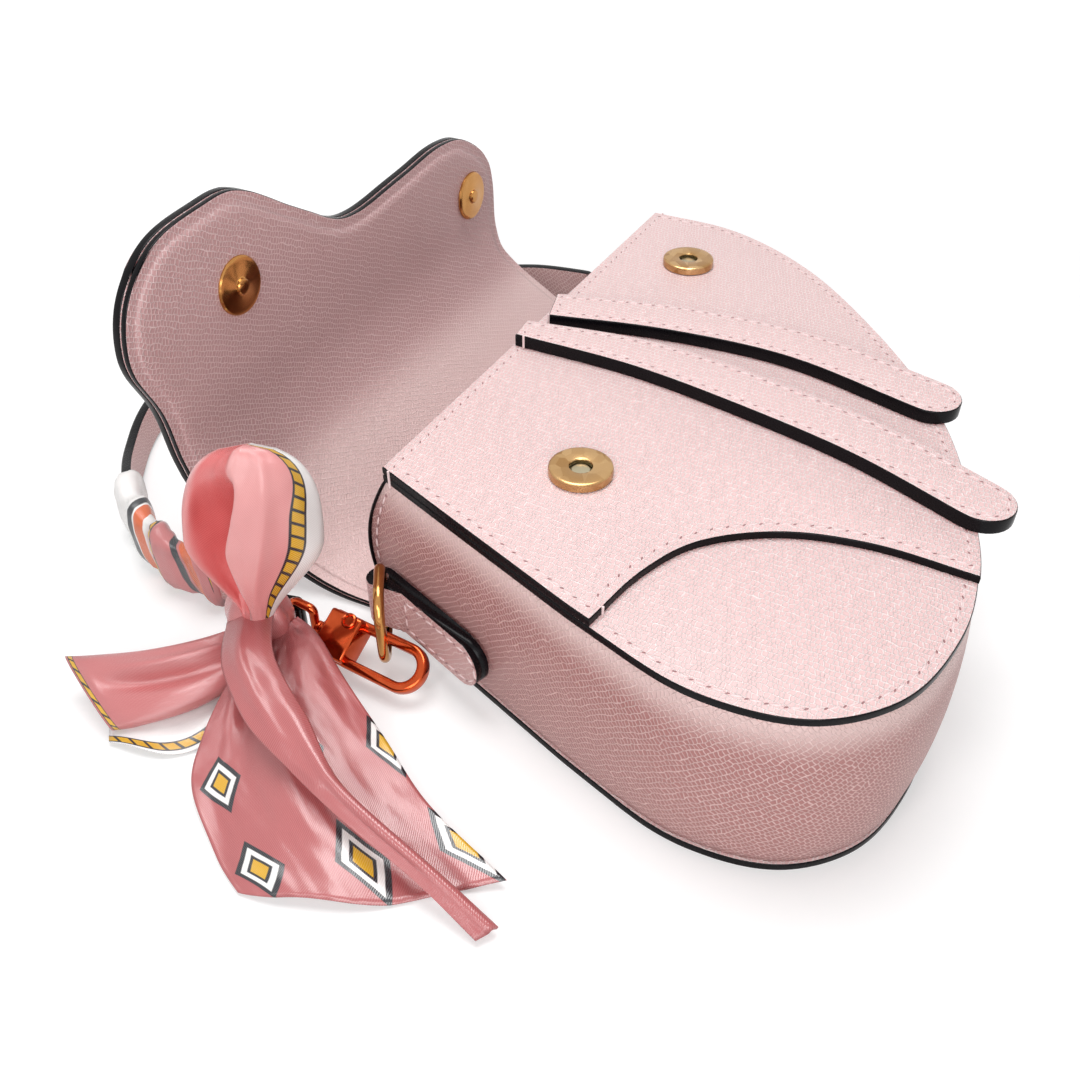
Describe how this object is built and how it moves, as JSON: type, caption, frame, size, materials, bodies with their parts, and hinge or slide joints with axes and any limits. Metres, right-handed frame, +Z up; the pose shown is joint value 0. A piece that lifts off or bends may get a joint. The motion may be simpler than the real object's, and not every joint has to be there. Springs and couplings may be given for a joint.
{
  "type": "crossbody purse",
  "caption": "Saddle-shaped leather crossbody purse on its back with a two-lobed magnetic flap, decorative straps, swivel-hooked carrying strap and tied satin scarf.",
  "frame": {"origin": "middle of the back panel outline, on its resting face", "axes": "+X along the mouth from the near corner to the far corner, +Y out of the mouth towards the flap, +Z up from the back panel to the front"},
  "size_m": [0.3203, 0.3107, 0.1173],
  "materials": {
    "leather": "embossed cross grain, satin",
    "lining": "matt",
    "gold": "polished rose gold plate",
    "steel": "satin",
    "satin": "printed satin"
  },
  "bodies": {
    "purse": {"back_lining": "lining", "back_panel": "leather", "billet_strap_far": "leather", "billet_strap_near": "leather", "front_lining": "lining", "front_overlay": "leather", "front_panel": "leather", "gusset": "leather", "gusset_lining": "lining", "scarf_knot": "satin", "scarf_loop_left": "satin", "scarf_loop_upper": "satin", "scarf_tail_narrow": "satin", "scarf_tail_wide": "satin", "scarf_wrap": "satin", "side_tab_far": "leather", "side_tab_near": "leather", "snap_core_far": "steel", "snap_core_near": "steel", "snap_magnet_far": "steel", "snap_magnet_near": "steel", "snap_socket_far": "gold", "snap_socket_near": "gold", "socket_washer_far": "steel", "socket_washer_near": "steel", "strap": "leather", "strap_end_far": "leather", "strap_end_near": "leather", "swivel_eye_far": "gold", "swivel_eye_near": "gold"},
    "flap_root": {"flap_root_outer": "leather", "flap_root_lining": "lining"},
    "flap_front": {"flap_front_outer": "leather", "flap_front_lining": "leather", "flap_stud_near": "gold", "flap_stud_far": "gold", "stud_washer_near": "steel", "stud_washer_far": "steel"},
    "d_ring_near": {"d_ring_near": "gold"},
    "hook_near": {"hook_body_near": "gold", "hook_screw_near": "gold", "hook_spring_near": "steel"},
    "hook_gate_near": {"hook_gate_near": "gold"},
    "d_ring_far": {"d_ring_far": "gold"},
    "hook_far": {"hook_body_far": "gold", "hook_screw_far": "gold", "hook_spring_far": "steel"},
    "hook_gate_far": {"hook_gate_far": "gold"}
  },
  "joints": [
    {"name": "flap_hinge", "type": "hinge", "parent": "purse", "child": "flap_root", "pos_m": [0, 0.086, 0.0033], "axis": [1, 0, 0], "range_deg": [-11, 63.6]},
    {"name": "flap_fold", "type": "hinge", "parent": "flap_root", "child": "flap_front", "pos_m": [0, 0.14082, 0.03931], "axis": [1, 0, 0], "range_deg": [-5.24, 29.85]},
    {"name": "d_ring_swing_near", "type": "hinge", "parent": "purse", "child": "d_ring_near", "pos_m": [-0.08645, 0.0759, 0.019], "axis": [0, 0, 1], "range_deg": [-3, 3]},
    {"name": "hook_swivel_near", "type": "hinge", "parent": "purse", "child": "hook_near", "pos_m": [-0.10049, 0.05343, 0.0086], "axis": [0.0645, 0.9979, 0], "range_deg": [-6, 6]},
    {"name": "hook_gate_near", "type": "hinge", "parent": "hook_near", "child": "hook_gate_near", "pos_m": [-0.0936, 0.08019, 0.01158], "axis": [0.499, -0.0323, -0.866], "range_deg": [0, 18], "stiffness_Nm_per_rad": 0.01, "springref_deg": -17.19, "deforming": ["hook_spring_near"]},
    {"name": "d_ring_swing_far", "type": "hinge", "parent": "purse", "child": "d_ring_far", "pos_m": [0.12004, 0.07276, 0.019], "axis": [0, 0, 1], "range_deg": [-3, 3]},
    {"name": "hook_swivel_far", "type": "hinge", "parent": "purse", "child": "hook_far", "pos_m": [0.13153, 0.05018, 0.0086], "axis": [0.0369, 0.9993, 0], "range_deg": [-6, 6]},
    {"name": "hook_gate_far", "type": "hinge", "parent": "hook_far", "child": "hook_gate_far", "pos_m": [0.12738, 0.07751, 0.01158], "axis": [0.4997, -0.0184, 0.866], "range_deg": [0, 18], "stiffness_Nm_per_rad": 0.01, "springref_deg": -17.19, "deforming": ["hook_spring_far"]}
  ],
  "couplings": [
    {"joint": "flap_fold", "follows": "flap_hinge", "ratio": 0.4677}
  ]
}
